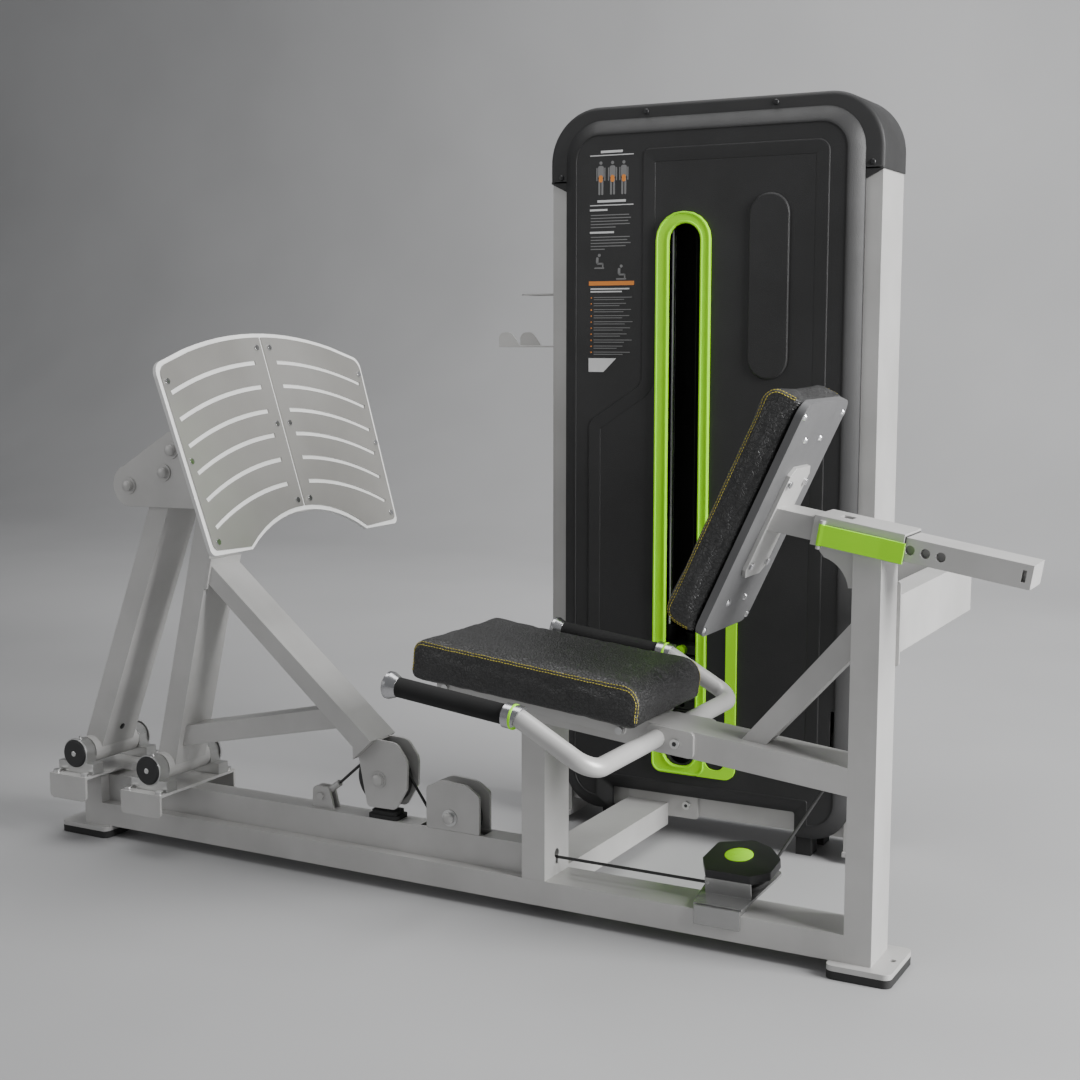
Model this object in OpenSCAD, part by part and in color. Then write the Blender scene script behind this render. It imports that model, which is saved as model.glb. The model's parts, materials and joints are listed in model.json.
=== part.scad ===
// Seated leg press: floor frame, tilting seat beam, sliding backrest,
// four-bar foot press and a weight tower joined by a cable.
// Millimetres, +Z up, +X from the foot plate towards the backrest side.
// The origin is under the middle of the whole machine, on the floor.

/* [Foot plate] */
// Half width of the foot plate near its top corners
foot_half_top = 338; // [330:1:345]
// Half width of the foot plate at its bottom edge
foot_half_bottom = 318; // [312:1:322]
// Thickness of the foot plate's base sheet
foot_base_t = 8; // [5:0.5:9]

/* [Seat] */
// Half width of the seat pad
seat_half = 152; // [135:1:165]
// Height of the seat pad's top edge over the seat bracket
seat_pad_h = 81; // [70:1:90]
// Half width of the back pad
back_half = 120; // [112:1:130]

/* [Handles] */
// Distance from the machine's middle plane to each hand grip
grip_reach = 320; // [300:5:330]
// Radius of the foam hand grips
grip_r = 18; // [16:0.5:20]

/* [Floor] */
// Radius of the bolt holes in the two floor plates
floor_hole_r = 6.5; // [5:0.5:8]
// Radius of the rounded corners of the floor plates
floor_corner_r = 14; // [8:1:20]

/* [Tower] */
// Radius of the tower's rounded top corners
cap_r = 118; // [80:2:122]
// Number of plates waiting in the weight stack
plate_count = 15; // [12:1:15]

/* [Pulleys] */
// Running clearance between a bore and its axle
run_gap = 0.05; // [0.02:0.01:0.09]
// Radius of the pulley axles
axle_r = 8; // [6:0.5:9]

/* [Hidden] */
$fn = 40;
mid = 50;                    // the press is symmetric about this Y
cap_side = 1447;             // height where the tower cap meets the uprights
top_z = 1606;                // top of the tower
cable_r = 3;
A = [-1790, 197];            // rear leg pivot, X and Z
B = [-1581, 185];            // front leg pivot
C = [-1550, 826];            // rear leg to head pivot
D = [-1426, 830];            // front leg to head pivot
M = [-1038, 217.5];          // moving pulley axle
F = [-870, 161.3];           // fixed pulley axle
corner_at = [-287, 101.3, 119.6];
seat_at = [-645, 0, 430];
seat_tilt = 5.9;
slide_at = [-40, 0, 771.5];
slide_tilt = 9.2;
silver = [0.72, 0.72, 0.72];
dark = [0.13, 0.13, 0.13];
green = [0.6, 0.83, 0.1];
steel = [0.82, 0.82, 0.84];
black = [0.07, 0.07, 0.07];

// ---------- helpers ----------
module block(a, b) { translate(a) cube(b - a); }
// an X-Z outline with thickness along Y
module side(y0, y1) { translate([0, y1, 0]) rotate([90, 0, 0]) linear_extrude(y1 - y0) children(); }
// a Y-Z outline with thickness along X
module across(x0, x1) { translate([x0, 0, 0]) rotate([90, 0, 90]) linear_extrude(x1 - x0) children(); }
// an X-Y outline with thickness along Z
module plan(z0, z1) { translate([0, 0, z0]) linear_extrude(z1 - z0) children(); }
module rod_x(y, z, r, x0, x1) { translate([x0, y, z]) rotate([0, 90, 0]) cylinder(r = r, h = x1 - x0); }
module rod_y(x, z, r, y0, y1) { translate([x, y0, z]) rotate([-90, 0, 0]) cylinder(r = r, h = y1 - y0); }
module rod_z(x, y, r, z0, z1) { translate([x, y, z0]) cylinder(r = r, h = z1 - z0); }
module both() {
  children();
  translate([0, 2 * mid, 0]) mirror([0, 1, 0]) children();
}
module round_rect(x0, y0, x1, y1, r) {
  translate([x0 + r, y0]) square([x1 - x0 - 2 * r, y1 - y0]);
  translate([x0, y0 + r]) square([x1 - x0, y1 - y0 - 2 * r]);
  for (x = [x0 + r, x1 - r]) for (y = [y0 + r, y1 - r]) translate([x, y]) circle(r = r);
}
function unit(v) = v / norm(v);
// points that round corner b between a and c
function corner_pts(a, b, c, r) =
  let (u = unit(a - b), v = unit(c - b), h = acos(u * v) / 2, m = b + unit(u + v) * r / sin(h))
  let (s = b + u * r / tan(h) - m, e = b + v * r / tan(h) - m)
  let (a0 = atan2(s[1], s[0]), d = atan2(e[1], e[0]) - a0)
  let (w = d > 180 ? d - 360 : (d < -180 ? d + 360 : d))
  [for (k = [0 : 5]) m + r * [cos(a0 + w * k / 5), sin(a0 + w * k / 5)]];
function rounded(p, r) = let (n = len(p))
  [for (i = [0 : n - 1]) each (r[i] == 0 ? [p[i]] : corner_pts(p[(i + n - 1) % n], p[i], p[(i + 1) % n], r[i]))];
function arc(c, r, a0, a1, n) = [for (k = [0 : n]) c + r * [cos(a0 + (a1 - a0) * k / n), sin(a0 + (a1 - a0) * k / n)]];

// ---------- inclined working frames ----------
module seat_frame() { translate(seat_at) rotate([0, seat_tilt, 0]) children(); }
module slide_frame() { translate(slide_at) rotate([0, slide_tilt, 0]) children(); }
module back_frame() { rotate([0, 25, 0]) children(); }
module foot_frame() { rotate([0, -17.5, 0]) children(); }
module corner_frame() { translate(corner_at) rotate([9.5, 0, 0]) children(); }
module top_line() { translate([-258, 690, 0]) rotate([0, 0, 4.74]) children(); }

// a grooved pulley around the local Z axis
module pulley(r, run_r, half) {
  groove = cable_r + 0.6;
  rotate_extrude($fn = 72) difference() {
    translate([axle_r + run_gap, -half]) square([r - axle_r - run_gap, 2 * half]);
    polygon([[r + 1, -groove - 3], [run_r - cable_r - 0.5, -groove * 0.7], [run_r - cable_r - 0.5, groove * 0.7], [r + 1, groove + 3]]);
    for (s = [-1, 1]) translate([24, s > 0 ? half - 4 : -half - 1]) square([run_r - cable_r - 32, 5]);
  }
}

// ---------- floor frame ----------
function beam_top(x) = 402.5 - 0.1033 * (x + 324);

module floor_plate(x0, x1, y0, y1, hx, hy, z0, z1) {
  difference() {
    plan(z0, z1) round_rect(x0, y0, x1, y1, floor_corner_r);
    rod_z(hx, hy, floor_hole_r, z0 - 1, z1 + 1);
  }
}

module base_beam() {
  color(silver) {
    block([-1767, 0, 25], [-50, 100, 75]);
    block([-1817, 0, 25], [-1767, 100, 147]);
    floor_plate(-1875, -1740, -18, 118, -1848, 50, 15, 25);
  }
}

module raised_beam() {
  color(silver) difference() {
    block([-1767, 25, 75], [-692, 75, 135]);
    block([-952, 31, 81], [-691, 69, 129]);
    block([-944, 34, 120], [-795, 66, 136]);
  }
}

module seat_post() {
  color(silver) difference() {
    side(0, 100) polygon([[-692, 75], [-642, 75], [-642, beam_top(-642) - 50.3], [-692, beam_top(-692) - 50.3]]);
    rod_x(50, 118, 9, -693, -641);
    block([-693, 45.5, 97], [-641, 54.5, 118]);
  }
}

module seat_beam() {
  color(silver) side(0, 100)
    polygon([[-840, beam_top(-840)], [-836, beam_top(-836) - 50.3], [-50, beam_top(-50) - 50.3], [-50, beam_top(-50)]]);
}

module back_post() {
  color(silver) {
    side(0, 100) polygon([[-50, 25], [0, 25], [0, 738.67], [-50, 746.77]]);
    floor_plate(-77, 40, -22, 122, 24, 50, 15, 25);
  }
}

module seat_brace() {
  color(silver) side(25, 75)
    polygon([[-255, beam_top(-255)], [-209, beam_top(-209)], [-50, 567], [-50, 632]]);
}

module cross_beam() {
  color(silver) {
    block([-748, 100, 25], [-650, 603, 75]);
    side(603, 609) round_rect(-748, 45, -579, 99, 6);
  }
}

module tie_beam() {
  color(silver) {
    plan(560, 663) polygon([[-50, 106], [0, 106], [0, 637], [-193, 637], [-193, 587], [-50, 587]]);
    side(100, 106) round_rect(-50, 540, 6, 690, 5);
  }
}

module sleeve() {
  color(silver) {
    slide_frame() {
      difference() {
        block([-83.5, 0, -26], [76, 100, 26]);
        block([-84, 4, -22], [77, 96, 22]);
        block([-50, 36, 20], [-28, 64, 27]);
        rod_y(33, 0, 7.55, -1, 5);
      }
      for (w = [14, -30]) translate([0, 0, w]) linear_extrude(6) {
        translate([-66, -6.5]) circle(r = 4.5);
        translate([-70.5, -6.5]) square([9, 8]);
      }
      translate([-66, -6.5, -25]) cylinder(r = 2.5, h = 40);
    }
    side(12, 88) polygon(concat([[-50, 686], [-50, 748], [-113, 758.2], [-113, 747]], arc([-122, 677], 62, 74, 8, 8)));
  }
}

module sleeve_liner() {
  color(black) slide_frame() difference() {
    block([-83.5, 4, -22], [77.5, 96, 22]);
    block([-84, 9.25, -20.55], [78, 90.75, 20.55]);
    rod_y(33, 0, 7.55, -1, 12);
  }
}

module floor_pads() {
  color(black) {
    floor_plate(-1875, -1740, -18, 118, -1848, 50, 0, 15);
    floor_plate(-77, 40, -22, 122, 24, 50, 0, 15);
    for (x = [-817, -352]) for (y = [611, 696]) block([x, y, 0], [x + 34, y + 40, 52]);
  }
}

module bearing_brackets() {
  color(silver) {
    block([-1640, -76, 135], [-1530, 176, 141]);
    both() side(-76, -70) polygon(rounded([[-1640, 135], [-1640, 90], [-1530, 90], [-1530, 135]], [0, 12, 12, 0]));
    block([-1846, -76, 147], [-1741, 176, 153]);
    both() side(-76, -70) polygon(rounded([[-1846, 147], [-1846, 98], [-1741, 98], [-1741, 147]], [0, 12, 12, 0]));
  }
}

module housing(p, base) {
  difference() {
    union() {
      rod_y(p[0], p[1], 29, -52, -20);
      block([p[0] - 29, -52, base], [p[0] + 29, -20, p[1]]);
      for (s = [-1, 1]) block([p[0] + s * 38 - 12, -52, base], [p[0] + s * 38 + 12, -20, base + 24]);
    }
    rod_y(p[0], p[1], 12.5, -53, -19);
  }
}

module bearing_housings() {
  color([0.6, 0.6, 0.6]) both() {
    housing(A, 153);
    housing(B, 141);
  }
}

module bearing_caps() {
  color(black) both() for (p = [A, B]) {
    rod_y(p[0], p[1], 31, -55, -52);
    translate([p[0], -55, p[1]]) rotate([90, 0, 0]) cylinder(r1 = 31, r2 = 28, h = 3);
  }
}

module bumper() {
  color(black) {
    plan(135, 143) round_rect(-1068, 27, -997, 73, 8);
    plan(143, 151) round_rect(-1062, 30, -1003, 70, 8);
  }
}

module cable_anchor() {
  color(silver) {
    for (y = [38, 56]) side(y, y + 6) polygon(rounded([[-1214, 135], [-1160, 135], [-1172, 180], [-1212, 180]], [0, 0, 10, 10]));
    rod_y(-1192, 159.6, 10, 43, 57);
    both() rod_y(-1192, 159.6, 8, 33, 39);
    translate([-1192, 50, 159.6]) rotate([0, 53, 0]) cylinder(r = 7, h = 51);
  }
}

module fixed_housing() {
  outline = rounded([[-924.5, 135], [-802, 135], [-802, 213], [-830, 232], [-890, 236], [-924.5, 219]], [0, 0, 10, 40, 40, 10]);
  color(silver) {
    both() side(26, 32) polygon(outline);
    rod_y(F[0], F[1], axle_r, 32, 68);
    both() rod_y(F[0], F[1], 13, 32, 37.5);
  }
}

module corner_bracket() {
  color([0.45, 0.45, 0.45]) {
    corner_frame() {
      plan(-21, -16) polygon(rounded([[-48, -104], [46, -104], [64, 30], [66, 56], [30, 84], [-48, 84], [-60, 30]],
        [0, 0, 10, 10, 20, 20, 10]));
      translate([0, 0, -16]) cylinder(r = axle_r, h = 38);
      translate([0, 0, -16]) cylinder(r = 13, h = 2.5);
      block([-41, -62, -17], [49, -58, 14.5]);
    }
    block([-331, -6, 49], [-242, 0, 84.5]);
    block([-331, 0, 75], [-242, 30, 83]);
  }
}

module corner_cover() {
  color(black) corner_frame() difference() {
    plan(14.5, 30) polygon(rounded([[-62, -18], [-40, -60], [48, -61], [78, -34], [78, 22], [44, 62], [4, 79], [-58, 52]],
      [6, 6, 6, 8, 14, 14, 14, 10]));
    plan(13, 22) polygon(rounded([[-58, -17], [-38, -56], [46, -57], [74, -32], [74, 21], [42, 58], [4, 75], [-54, 49]],
      [6, 6, 6, 8, 14, 14, 14, 10]));
  }
}

// ---------- seat ----------
module seat_bracket() {
  color(silver) seat_frame() {
    block([-200, -60, 5.7], [201, 160, 10.7]);
    both() side(-60, -55) polygon(rounded([[-200, -8], [150, -13], [201, -13], [201, 5.7], [-200, 5.7]], [8, 0, 10, 0, 0]));
  }
}

module seat_pad() {
  color(black) seat_frame() side(mid - seat_half, mid + seat_half)
    polygon(rounded([[-246, 10.7], [243, 10.7], [243, 10.7 + seat_pad_h], [-246, 10.7 + seat_pad_h]], [12, 12, 36, 22]));
}

// the straight line that carries the hand grip, beyond the tube's second bend
module on_grip(a) {
  translate([-408, 0, 386]) rotate([0, 28.84, 0]) translate([-159.6, mid - grip_reach, 0])
    rotate([0, -112.14, 0]) translate([0, 0, a]) children();
}

module handle_tubes() {
  reach = grip_reach - mid;
  color(silver) both() {
    side(-8, 0) polygon(rounded([[-427, 363], [-335, 355], [-335, 404], [-427, 412]], [9, 9, 9, 9]));
    translate([-408, 0, 386]) rotate([0, 28.84, 0]) {
      translate([0, -8, 0]) rotate([90, 0, 0]) cylinder(r = 17, h = reach - 48);
      translate([-40, 40 - reach, 0]) rotate([0, 0, -90]) rotate_extrude(angle = 90) translate([40, 0]) circle(r = 17);
      translate([-40, -reach, 0]) rotate([0, -90, 0]) cylinder(r = 17, h = 119.6);
    }
  }
}

module handle_grips() {
  color(black) both() on_grip(26) difference() {
    cylinder(r = grip_r, h = 220);
    translate([0, 0, -1]) cylinder(r = 13, h = 226);
  }
}

module handle_ends() {
  color(steel) both() {
    difference() {
      union() {
        on_grip(-9) cylinder(r = 22, h = 35);
        on_grip(20) cylinder(r = 13, h = 234);
      }
      translate([-408, mid - grip_reach, 386]) rotate([0, 28.84, 0]) block([-159.6, -40, -40], [-110, 40, 40]);
    }
    on_grip(246) difference() {
      union() {
        cylinder(r1 = 18, r2 = 25, h = 16);
        translate([0, 0, 16]) cylinder(r = 25, h = 6);
        translate([0, 0, 22]) cylinder(r1 = 25, r2 = 22, h = 3);
      }
      translate([0, 0, -1]) cylinder(r = 13, h = 9);
    }
  }
}

module bolt_y(x, z, y, r) { rod_y(x, z, r, y - 6, y); }

module frame_bolts() {
  color(steel) {
    both() {
      bolt_y(-369.5, 381, -8, 9);
      seat_frame() bolt_y(190, -3.5, -60, 7);
      seat_frame() bolt_y(-180, -1, -60, 7);
      rod_y(F[0], F[1], 17, 24, 26);
      rod_y(F[0], F[1], 12, 17, 24);
    }
    bolt_y(-605, 74.6, 603, 9);
    bolt_y(-26, 676, 112, 8);
    bolt_y(-26, 550, 112, 8);
    for (x = [-1628, -1542]) for (y = [-64, 164]) rod_z(x, y, 8, 141, 147);
    for (x = [-1834, -1753]) for (y = [-64, 164]) rod_z(x, y, 8, 153, 159);
  }
}

// ---------- tower ----------
module tower_uprights() {
  color(silver) for (x = [-941, -243]) difference() {
    block([x, 600, 25], [x + 50, 747, cap_side]);
    block([x + 3, 603, 24], [x + 47, 744, cap_side + 1]);
  }
}

module tower_rails() {
  color(silver) {
    block([-891, 609, 52], [-243, 651, 93]);
    block([-891, 696, 52], [-243, 736, 93]);
    for (x = [-941, -243]) block([x, 590, 15], [x + 50, 757, 25]);
    intersection() {
      block([-891, 600, 1380], [-243, 747, 1460]);
      top_line() {
        for (y = [-28, 22]) block([-640, y, 1400], [30, y + 6, cap_side - 0.5]);
        for (x = [-50, -313.2]) {
          rod_y(x, 1440, axle_r, -22, 22);
          rod_y(x, 1440, 13, -22, -13);
          rod_y(x, 1440, 13, 13, 22);
        }
      }
    }
    // carrier of the lower tower pulley
    for (x = [-278, -244]) block([x, 609, 93], [x + 6 - (x == -244 ? 5 : 0), 665, 275]);
    rod_x(640, 263, axle_r, -278, -243);
    rod_x(640, 263, 13, -272, -268.5);
    rod_x(640, 263, 13, -247.5, -244);
  }
}

module cap_outline(x0, x1, z0, z1, r) {
  polygon(rounded([[x0, z0], [x1, z0], [x1, z1], [x0, z1]], [0, 0, r, r]));
}

// front panel outline, inset by g
module panel(g) {
  difference() {
    polygon(rounded([[-904 + g, 45 + g], [-228 - g, 45 + g], [-228 - g, 1576 - g], [-904 + g, 1576 - g]],
      [86 - g, 86 - g, 88 - g, 88 - g]));
    translate([-784 - g, 0]) square([434 + 2 * g, 98 + g]);
  }
}

module top_cap() {
  color(dark) difference() {
    union() {
      side(594, 753) cap_outline(-945, -189, cap_side, top_z, cap_r);
      side(594, 600) polygon([[-943, cap_side + 1], [-943, 1446], [-902, 1426], [-902, cap_side + 1]]);
      side(594, 600) polygon([[-191, cap_side + 1], [-191, 1446], [-230, 1426], [-230, cap_side + 1]]);
    }
    side(602, 745) cap_outline(-886, -248, cap_side - 1, top_z - 12, cap_r - 60);
    side(593, 600) panel(0);
  }
}

module front_shroud() {
  color(dark) difference() {
    union() {
      side(594, 600) panel(0);
      side(585, 594) panel(14);
      side(576, 585) panel(29);
    }
    side(582, 601) polygon(rounded([[-869, 134], [-263, 134], [-263, 1541], [-869, 1541]], [8, 8, 50, 50]));
    block([-650, 570, 205], [-572, 610, 1312]);
    rod_y(-611, 1311.5, 39, 570, 610);
    rod_y(-611, 205.5, 30, 570, 610);
    block([-270, 570, 190], [-246, 610, 330]);
  }
}

module rear_shroud() {
  color(dark) plan(60, cap_side)
    polygon([[-920, 747], [-214, 747], [-240, 765], [-894, 765]]);
}

module window_outline(x0, x1, z0, z1, r_top, r_low) {
  polygon(rounded([[x0, z0], [x1, z0], [x1, z1], [x0, z1]], [r_low, r_low, r_top, r_top]));
}

module window_trim() {
  color(green) difference() {
    side(570, 576) union() {
      window_outline(-678, -552, 153, 1375, 60, 24);
      window_outline(-590, -481, 153, 600, 20, 24);
    }
    side(569, 577) window_outline(-648, -575, 172, 1350, 36, 30);
    side(569, 577) window_outline(-551, -505, 172, 580, 10, 20);
  }
}

module guide_rods() {
  color(steel) {
    for (x = [-677, -563]) rod_z(x, 660, 12, 103, 1372);
    block([-760, 611, 93], [-480, 736, 103]);
    difference() {
      block([-891, 634, 1370], [-243, 682, 1378]);
      rod_z(-620, 660, 9, 1369, 1379);
    }
  }
}

module weight_stack() {
  color([0.2, 0.2, 0.2]) difference() {
    union() {
      for (i = [0 : plate_count - 1]) block([-735, 606, 112 + 20 * i], [-505, 714, 130.4 + 20 * i]);
      block([-725, 612, 112], [-515, 708, 116 + 20 * plate_count - 20]);
      for (x = [-677, -563]) rod_z(x, 660, 20, 103, 113);
    }
    for (x = [-677, -563]) rod_z(x, 660, 12.4, 100, 420);
    rod_z(-620, 660, 11, 100, 420);
    for (i = [0 : plate_count - 1]) rod_y(-620, 121 + 20 * i, 5.5, 600, 661);
  }
}

module bottle_holder() {
  color(silver) {
    block([-944, 640, 1084], [-941, 684, 1214]);
    difference() {
      plan(1204, 1207.5) round_rect(-1041, 622, -943, 702, 20);
      rod_z(-996, 662, 34, 1200, 1212);
    }
    plan(1087, 1090) round_rect(-1087, 610, -943, 714, 3);
    for (y = [610, 711]) side(y, y + 3) polygon(rounded([[-1087, 1088], [-1087, 1121], [-1056, 1121], [-1030, 1088]], [0, 15, 14, 0]));
  }
}

// ---------- cables ----------
// a round cable drawn as short rings along points
module sweep(p, r, n) {
  m = len(p);
  pts = [for (i = [0 : m - 1])
    let (a = p[max(i - 1, 0)], b = p[min(i + 1, m - 1)], d = unit(b - a))
    let (k = i == 0 ? unit(p[1] - p[0]) : (i == m - 1 ? unit(p[i] - p[i - 1]) : d))
    let (up = abs(k[1]) < 0.9 && abs(k[0]) + abs(k[2]) > 0.5 && abs(k[1]) < 0.35 ? [0, 1, 0] : (abs(k[2]) > 0.8 ? [1, 0, 0] : [0, 0, 1]))
    let (u = unit(cross(k, up)), v = cross(k, u))
    for (j = [0 : n - 1]) p[i] + r * (cos(360 * j / n) * u + sin(360 * j / n) * v)];
  polyhedron(pts, concat(
    [[for (j = [0 : n - 1]) j]],
    [[for (j = [n - 1 : -1 : 0]) (m - 1) * n + j]],
    [for (i = [0 : m - 2]) for (j = [0 : n - 1]) [i * n + j, (i + 1) * n + j, (i + 1) * n + (j + 1) % n, i * n + (j + 1) % n]]));
}
function ring_xz(c, r, a0, a1, n) = [for (k = [0 : n]) [c[0] + r * cos(a0 + (a1 - a0) * k / n), mid, c[1] + r * sin(a0 + (a1 - a0) * k / n)]];

module cable_press() {
  color([0.15, 0.15, 0.15]) sweep(concat([[-1150.5, mid, 190.7]], ring_xz(M, 54, 130.8, 35.2, 14), [[-911.7, mid, 131.9]]), cable_r, 10);
}

// rings on the corner pulley, in its own tilted plane
function ring_corner(r, a0, a1, n) = [for (k = [0 : n]) let (a = a0 + (a1 - a0) * k / n)
  corner_at + [r * cos(a), r * sin(a) * cos(9.5), r * sin(a) * sin(9.5)]];

module cable_run() {
  color([0.15, 0.15, 0.15]) {
    sweep(concat(ring_xz(F, 51, 215.2, 270, 6), ring_corner(52, -90, 2.6, 10), [[-258, 630, 210.8]]), cable_r, 10);
    sweep(concat([for (k = [0 : 8]) [-258, 640 + 50 * cos(-78 + 78 * k / 8), 263 + 50 * sin(-78 + 78 * k / 8)]],
      [[-258, 690, 1300]]), cable_r, 10);
    translate([-258, 690, 0]) rotate([0, 0, 4.74]) sweep(concat([[0, 0, 1300]],
      [for (k = [0 : 7]) [-50 + 50 * cos(90 * k / 7), 0, 1440 + 50 * sin(90 * k / 7)]],
      [for (k = [0 : 7]) [-313.2 + 50 * cos(90 + 90 * k / 7), 0, 1440 + 50 * sin(90 + 90 * k / 7)]]), cable_r, 10);
  }
}

module cable_stack() {
  color([0.15, 0.15, 0.15]) rod_z(-620, 660, cable_r, 455, 1440);
}

// ---------- moving weight ----------
module top_plate() {
  color([0.25, 0.25, 0.25]) {
    difference() {
      union() {
        block([-735, 606, 416], [-505, 714, 435]);
        for (x = [-677, -563]) rod_z(x, 660, 19, 435, 471);
        rod_z(-620, 660, 14, 435, 455);
      }
      for (x = [-677, -563]) rod_z(x, 660, 12.05, 400, 480);
      rod_y(-620, 425.5, 4.55, 600, 650.1);
    }
    rod_z(-620, 660, 10, 125, 416);
  }
}

module selector_pin() {
  color(green) {
    rod_y(-620, 425.5, 4.5, 604, 650);
    rod_y(-620, 425.5, 11, 590, 605);
  }
}

// ---------- pulleys ----------
module top_pulley_right() { color(black) top_line() translate([-50, 0, 1440]) rotate([90, 0, 0]) pulley(56, 50, 12.5); }
module top_pulley_left() { color(black) top_line() translate([-313.2, 0, 1440]) rotate([90, 0, 0]) pulley(56, 50, 12.5); }
module tower_pulley() { color(black) translate([-258, 640, 263]) rotate([0, 90, 0]) pulley(54, 50, 10); }
module corner_pulley() { color(black) corner_frame() pulley(57, 52, 13); }
module fixed_pulley() { color(black) translate([F[0], mid, F[1]]) rotate([90, 0, 0]) pulley(55, 51, 12); }
module moving_pulley() { color(black) translate([M[0], mid, M[1]]) rotate([90, 0, 0]) pulley(58, 54, 12); }

// ---------- press ----------
module moving_housing() {
  outline = rounded([[-1087, 258.2], [-1043, 300.3], [-995, 298], [-968, 262], [-971, 205], [-998.5, 159], [-1067, 158]],
    [0, 0, 24, 34, 10, 14, 10]);
  color(silver) {
    both() side(26, 32) polygon(outline);
    side(32, 68) polygon([[-1087, 258.2], [-1043, 300.3], [-1040.2, 297.4], [-1084.2, 255.3]]);
    rod_y(M[0], M[1], axle_r, 32, 68);
    both() rod_y(M[0], M[1], 13, 32, 37.5);
    both() rod_y(M[0], M[1], 17, 24, 26);
    both() rod_y(M[0], M[1], 12, 17, 24);
  }
}

// a leg tube with a bearing hub at each end
module leg(p, q, foot, dir, l0, l1, hub_len, top_bore) {
  difference() {
    union() {
      translate([foot[0], 0, foot[1]]) rotate([0, dir, 0]) block([-25, 0, l0], [25, 100, l1]);
      rod_y(p[0], p[1], 30, mid - hub_len, mid + hub_len);
      rod_y(q[0], q[1], 30, 0, 100);
    }
    rod_y(q[0], q[1], top_bore, -1, 101);
  }
}

module rear_leg() {
  color(silver) {
    leg(A, C, A, 21.2, 0, 650, 68, 11);
    rod_y(A[0], A[1], 12.5 - run_gap, -50, 150);
  }
}

module front_leg() {
  color(silver) {
    leg(B, D, [-1577.6, 185], 13.22, 0, 645, 68, 8 + run_gap);
    rod_y(B[0], B[1], 12.5 - run_gap, -50, 150);
  }
}

module press_braces() {
  color(silver) {
    side(0, 100) polygon([[-1458.3, 582.6], [-1442.9, 648], [-1437.1, 646.6], [-1452.5, 581.2]]);
    side(5, 95) polygon([[-1452.1, 594.7], [-1087, 284.2], [-1087, 258.2], [-1043, 300.3], [-1443, 633.6]]);
    side(15, 85) polygon([[-1540.9, 229.5], [-1125.4, 317], [-1167, 352.3], [-1530.8, 274.3]]);
  }
}

module head_bracket() {
  outline = concat(arc([-1648, 794], 45, 270, 122, 10), [[-1662 + 2, 835], [-1537, 912], [-1500, 922], [-1296.6, 946.7], [-1237.1, 758]]);
  color(silver) {
    both() side(-10, -2) polygon(concat(arc([-1648, 794], 45, 270, 105, 10), [[-1537, 912], [-1500, 922], [-1297.1, 947], [-1237.6, 758], [-1648, 749]]));
    foot_frame() block([-958, -80, 1090], [-952.05, 180, 1260]);
    foot_frame() block([-990, -2, 1200], [-958, 102, 1225]);
  }
}

module head_pins() {
  color(steel) {
    for (p = [C, D, [-1648, 794], [-1528, 874]]) {
      rod_y(p[0], p[1], 8, -2, 102);
      both() rod_y(p[0], p[1], 18, -12.5, -10);
      both() rod_y(p[0], p[1], 12, -19, -12.5);
    }
  }
}

function foot_outline(g) = let (h = foot_half_top - g, b = foot_half_bottom - g, a = acos(h / (964.5 - g)))
  concat(
    [for (p = corner_pts([b, 1031 + g], [h, 505 + (964.5 - g) * sin(a)], [h - 60, 505 + (964.5 - g) * sin(acos((h - 60) / (964.5 - g)))], 26)) p],
    [for (k = [1 : 14]) let (x = (h - 60) * (1 - 2 * k / 15)) [x, 505 + sqrt(pow(964.5 - g, 2) - x * x)]],
    [for (p = corner_pts([60 - h, 505 + (964.5 - g) * sin(acos((h - 60) / (964.5 - g)))], [-h, 505 + (964.5 - g) * sin(a)], [-b, 1031 + g], 26)) p],
    corner_pts([-h, 1300], [-b, 1031 + g], [-200, 1031 + g], 14),
    [for (k = [0 : 14]) let (x = -(196 + g * 0.6) * (1 - k / 7)) [x, 746 + g + sqrt(346 * 346 - x * x)]],
    corner_pts([200, 1031 + g], [b, 1031 + g], [h, 1300], 14));

module foot_slot(i, s) {
  a = 1406.4 - 51.2 * i;
  b = 1353.2 - 53.6 * i;
  w = 313 - 4.6 * i;
  r0 = norm([35, a - 505]);
  p0 = atan2(a - 505, s * 35);
  p1 = atan2(b - 505, s * w);
  polygon(concat(arc([0, 505], r0 + 4.3, p0, p1, 10), arc([0, 505], r0 - 4.3, p1, p0, 10)));
}

module foot_base() {
  color([0.3, 0.3, 0.3]) foot_frame() translate([0, mid, 0]) across(-944 - foot_base_t, -944) polygon(foot_outline(0));
}

module foot_panels() {
  color(steel) foot_frame() translate([0, mid, 0]) across(-944, -940.6) difference() {
    polygon(foot_outline(9));
    translate([-3.5, 1000]) square([7, 500]);
    for (i = [0 : 5]) for (s = [-1, 1]) foot_slot(i, s);
  }
}

module foot_screws() {
  color(steel) foot_frame() for (s = [-1, 1])
    for (p = [[317, 1374], [310, 1216], [296, 1056], [21, 1438], [21, 1276], [21, 1114]])
      translate([-940.6, mid + s * p[0], p[1]]) rotate([0, 90, 0]) cylinder(r = 6, h = 3, $fn = 20);
}

// ---------- backrest ----------
module adjust_tube() {
  color(silver) {
    difference() {
      slide_frame() difference() {
        block([-240, 9.3, -20.5], [290, 90.7, 20.5]);
        for (k = [-4 : 2]) rod_y(86 + 26.5 * k, 0, 8.2, 0, 22);
        block([273, 0, -10], [280, 22, 10]);
      }
      back_frame() block([-760, -50, 0], [-517, 150, 1200]);
    }
    back_frame() across(-524, -517) polygon([[0, 535], [15, 520], [85, 520], [100, 535], [100, 722], [85, 737], [15, 737], [0, 722]]);
  }
}

module back_board() {
  color([0.25, 0.25, 0.25]) back_frame() across(-538, -524) round_rect(-64, 405, 164, 861, 28);
}

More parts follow.
